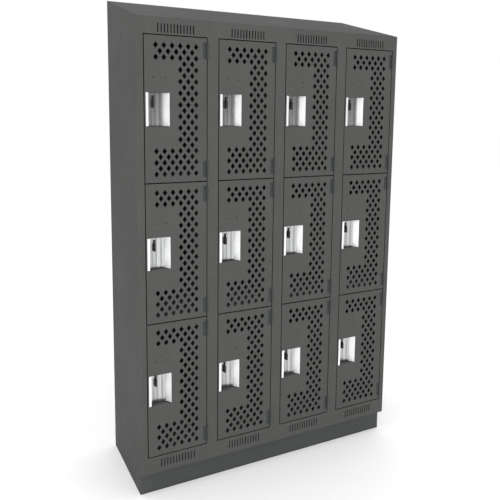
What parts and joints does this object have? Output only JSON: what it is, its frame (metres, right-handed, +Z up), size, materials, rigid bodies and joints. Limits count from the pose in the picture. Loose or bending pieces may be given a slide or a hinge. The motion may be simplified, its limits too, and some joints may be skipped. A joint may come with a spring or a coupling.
{
  "type": "locker cabinet",
  "caption": "Bank of tiered steel lockers with hinged doors, recessed latch handles, a sloping top and a recessed toe-kick base.",
  "frame": {"origin": "on the floor, under the middle of the outer box", "axes": "+X along the bank to the right as one faces the doors, +Y from the doors to the back, +Z up"},
  "size_m": [1.2192, 0.4614, 2.045],
  "materials": {
    "charcoal_paint": "satin powder coat, dark grey",
    "base_paint": "satin powder coat, dark grey",
    "stainless": "stainless steel, brushed along its height",
    "dark_zinc": "dark grey coated steel"
  },
  "bodies": {
    "cabinet": {"front_frame_1": "charcoal_paint", "front_frame_2": "charcoal_paint", "front_frame_3": "charcoal_paint", "front_frame_4": "charcoal_paint", "shelf_1_middle": "charcoal_paint", "shelf_1_top": "charcoal_paint", "shelf_2_middle": "charcoal_paint", "shelf_2_top": "charcoal_paint", "shelf_3_middle": "charcoal_paint", "shelf_3_top": "charcoal_paint", "shelf_4_middle": "charcoal_paint", "shelf_4_top": "charcoal_paint", "partition_1": "charcoal_paint", "partition_2": "charcoal_paint", "partition_3": "charcoal_paint", "end_panel_left": "charcoal_paint", "end_panel_right": "charcoal_paint", "back_panel": "charcoal_paint", "floor_panel": "charcoal_paint", "top_panel": "charcoal_paint", "sloped_hood": "charcoal_paint", "base_toe_kick": "base_paint", "base_end_left": "base_paint", "base_end_right": "base_paint"},
    "door_1_bottom": {"door_1_bottom": "charcoal_paint", "handle_cup_1_bottom": "stainless"},
    "door_1_middle": {"door_1_middle": "charcoal_paint", "handle_cup_1_middle": "stainless"},
    "door_1_top": {"door_1_top": "charcoal_paint", "handle_cup_1_top": "stainless"},
    "door_2_bottom": {"door_2_bottom": "charcoal_paint", "handle_cup_2_bottom": "stainless"},
    "door_2_middle": {"door_2_middle": "charcoal_paint", "handle_cup_2_middle": "stainless"},
    "door_2_top": {"door_2_top": "charcoal_paint", "handle_cup_2_top": "stainless"},
    "door_3_bottom": {"door_3_bottom": "charcoal_paint", "handle_cup_3_bottom": "stainless"},
    "door_3_middle": {"door_3_middle": "charcoal_paint", "handle_cup_3_middle": "stainless"},
    "door_3_top": {"door_3_top": "charcoal_paint", "handle_cup_3_top": "stainless"},
    "door_4_bottom": {"door_4_bottom": "charcoal_paint", "handle_cup_4_bottom": "stainless"},
    "door_4_middle": {"door_4_middle": "charcoal_paint", "handle_cup_4_middle": "stainless"},
    "door_4_top": {"door_4_top": "charcoal_paint", "handle_cup_4_top": "stainless"},
    "latch_lift_1_bottom": {"latch_lift_1_bottom": "dark_zinc"},
    "latch_lift_1_middle": {"latch_lift_1_middle": "dark_zinc"},
    "latch_lift_1_top": {"latch_lift_1_top": "dark_zinc"},
    "latch_lift_2_bottom": {"latch_lift_2_bottom": "dark_zinc"},
    "latch_lift_2_middle": {"latch_lift_2_middle": "dark_zinc"},
    "latch_lift_2_top": {"latch_lift_2_top": "dark_zinc"},
    "latch_lift_3_bottom": {"latch_lift_3_bottom": "dark_zinc"},
    "latch_lift_3_middle": {"latch_lift_3_middle": "dark_zinc"},
    "latch_lift_3_top": {"latch_lift_3_top": "dark_zinc"},
    "latch_lift_4_bottom": {"latch_lift_4_bottom": "dark_zinc"},
    "latch_lift_4_middle": {"latch_lift_4_middle": "dark_zinc"},
    "latch_lift_4_top": {"latch_lift_4_top": "dark_zinc"}
  },
  "joints": [
    {"name": "door_1_bottom_swing", "type": "hinge", "parent": "cabinet", "child": "door_1_bottom", "pos_m": [-0.32905, -0.2277, 0], "axis": [0, 0, 1], "range_deg": [0, 110]},
    {"name": "door_1_middle_swing", "type": "hinge", "parent": "cabinet", "child": "door_1_middle", "pos_m": [-0.32905, -0.2277, 0], "axis": [0, 0, 1], "range_deg": [0, 110]},
    {"name": "door_1_top_swing", "type": "hinge", "parent": "cabinet", "child": "door_1_top", "pos_m": [-0.32905, -0.2277, 0], "axis": [0, 0, 1], "range_deg": [0, 110]},
    {"name": "door_2_bottom_swing", "type": "hinge", "parent": "cabinet", "child": "door_2_bottom", "pos_m": [-0.02425, -0.2277, 0], "axis": [0, 0, 1], "range_deg": [0, 110]},
    {"name": "door_2_middle_swing", "type": "hinge", "parent": "cabinet", "child": "door_2_middle", "pos_m": [-0.02425, -0.2277, 0], "axis": [0, 0, 1], "range_deg": [0, 110]},
    {"name": "door_2_top_swing", "type": "hinge", "parent": "cabinet", "child": "door_2_top", "pos_m": [-0.02425, -0.2277, 0], "axis": [0, 0, 1], "range_deg": [0, 110]},
    {"name": "door_3_bottom_swing", "type": "hinge", "parent": "cabinet", "child": "door_3_bottom", "pos_m": [0.28055, -0.2277, 0], "axis": [0, 0, 1], "range_deg": [0, 110]},
    {"name": "door_3_middle_swing", "type": "hinge", "parent": "cabinet", "child": "door_3_middle", "pos_m": [0.28055, -0.2277, 0], "axis": [0, 0, 1], "range_deg": [0, 110]},
    {"name": "door_3_top_swing", "type": "hinge", "parent": "cabinet", "child": "door_3_top", "pos_m": [0.28055, -0.2277, 0], "axis": [0, 0, 1], "range_deg": [0, 110]},
    {"name": "door_4_bottom_swing", "type": "hinge", "parent": "cabinet", "child": "door_4_bottom", "pos_m": [0.58535, -0.2277, 0], "axis": [0, 0, 1], "range_deg": [0, 110]},
    {"name": "door_4_middle_swing", "type": "hinge", "parent": "cabinet", "child": "door_4_middle", "pos_m": [0.58535, -0.2277, 0], "axis": [0, 0, 1], "range_deg": [0, 110]},
    {"name": "door_4_top_swing", "type": "hinge", "parent": "cabinet", "child": "door_4_top", "pos_m": [0.58535, -0.2277, 0], "axis": [0, 0, 1], "range_deg": [0, 110]},
    {"name": "latch_1_bottom_lift", "type": "slide", "parent": "door_1_bottom", "child": "latch_lift_1_bottom", "axis": [0, 0, 1], "range_m": [0, 0.012]},
    {"name": "latch_1_middle_lift", "type": "slide", "parent": "door_1_middle", "child": "latch_lift_1_middle", "axis": [0, 0, 1], "range_m": [0, 0.012]},
    {"name": "latch_1_top_lift", "type": "slide", "parent": "door_1_top", "child": "latch_lift_1_top", "axis": [0, 0, 1], "range_m": [0, 0.012]},
    {"name": "latch_2_bottom_lift", "type": "slide", "parent": "door_2_bottom", "child": "latch_lift_2_bottom", "axis": [0, 0, 1], "range_m": [0, 0.012]},
    {"name": "latch_2_middle_lift", "type": "slide", "parent": "door_2_middle", "child": "latch_lift_2_middle", "axis": [0, 0, 1], "range_m": [0, 0.012]},
    {"name": "latch_2_top_lift", "type": "slide", "parent": "door_2_top", "child": "latch_lift_2_top", "axis": [0, 0, 1], "range_m": [0, 0.012]},
    {"name": "latch_3_bottom_lift", "type": "slide", "parent": "door_3_bottom", "child": "latch_lift_3_bottom", "axis": [0, 0, 1], "range_m": [0, 0.012]},
    {"name": "latch_3_middle_lift", "type": "slide", "parent": "door_3_middle", "child": "latch_lift_3_middle", "axis": [0, 0, 1], "range_m": [0, 0.012]},
    {"name": "latch_3_top_lift", "type": "slide", "parent": "door_3_top", "child": "latch_lift_3_top", "axis": [0, 0, 1], "range_m": [0, 0.012]},
    {"name": "latch_4_bottom_lift", "type": "slide", "parent": "door_4_bottom", "child": "latch_lift_4_bottom", "axis": [0, 0, 1], "range_m": [0, 0.012]},
    {"name": "latch_4_middle_lift", "type": "slide", "parent": "door_4_middle", "child": "latch_lift_4_middle", "axis": [0, 0, 1], "range_m": [0, 0.012]},
    {"name": "latch_4_top_lift", "type": "slide", "parent": "door_4_top", "child": "latch_lift_4_top", "axis": [0, 0, 1], "range_m": [0, 0.012]}
  ]
}
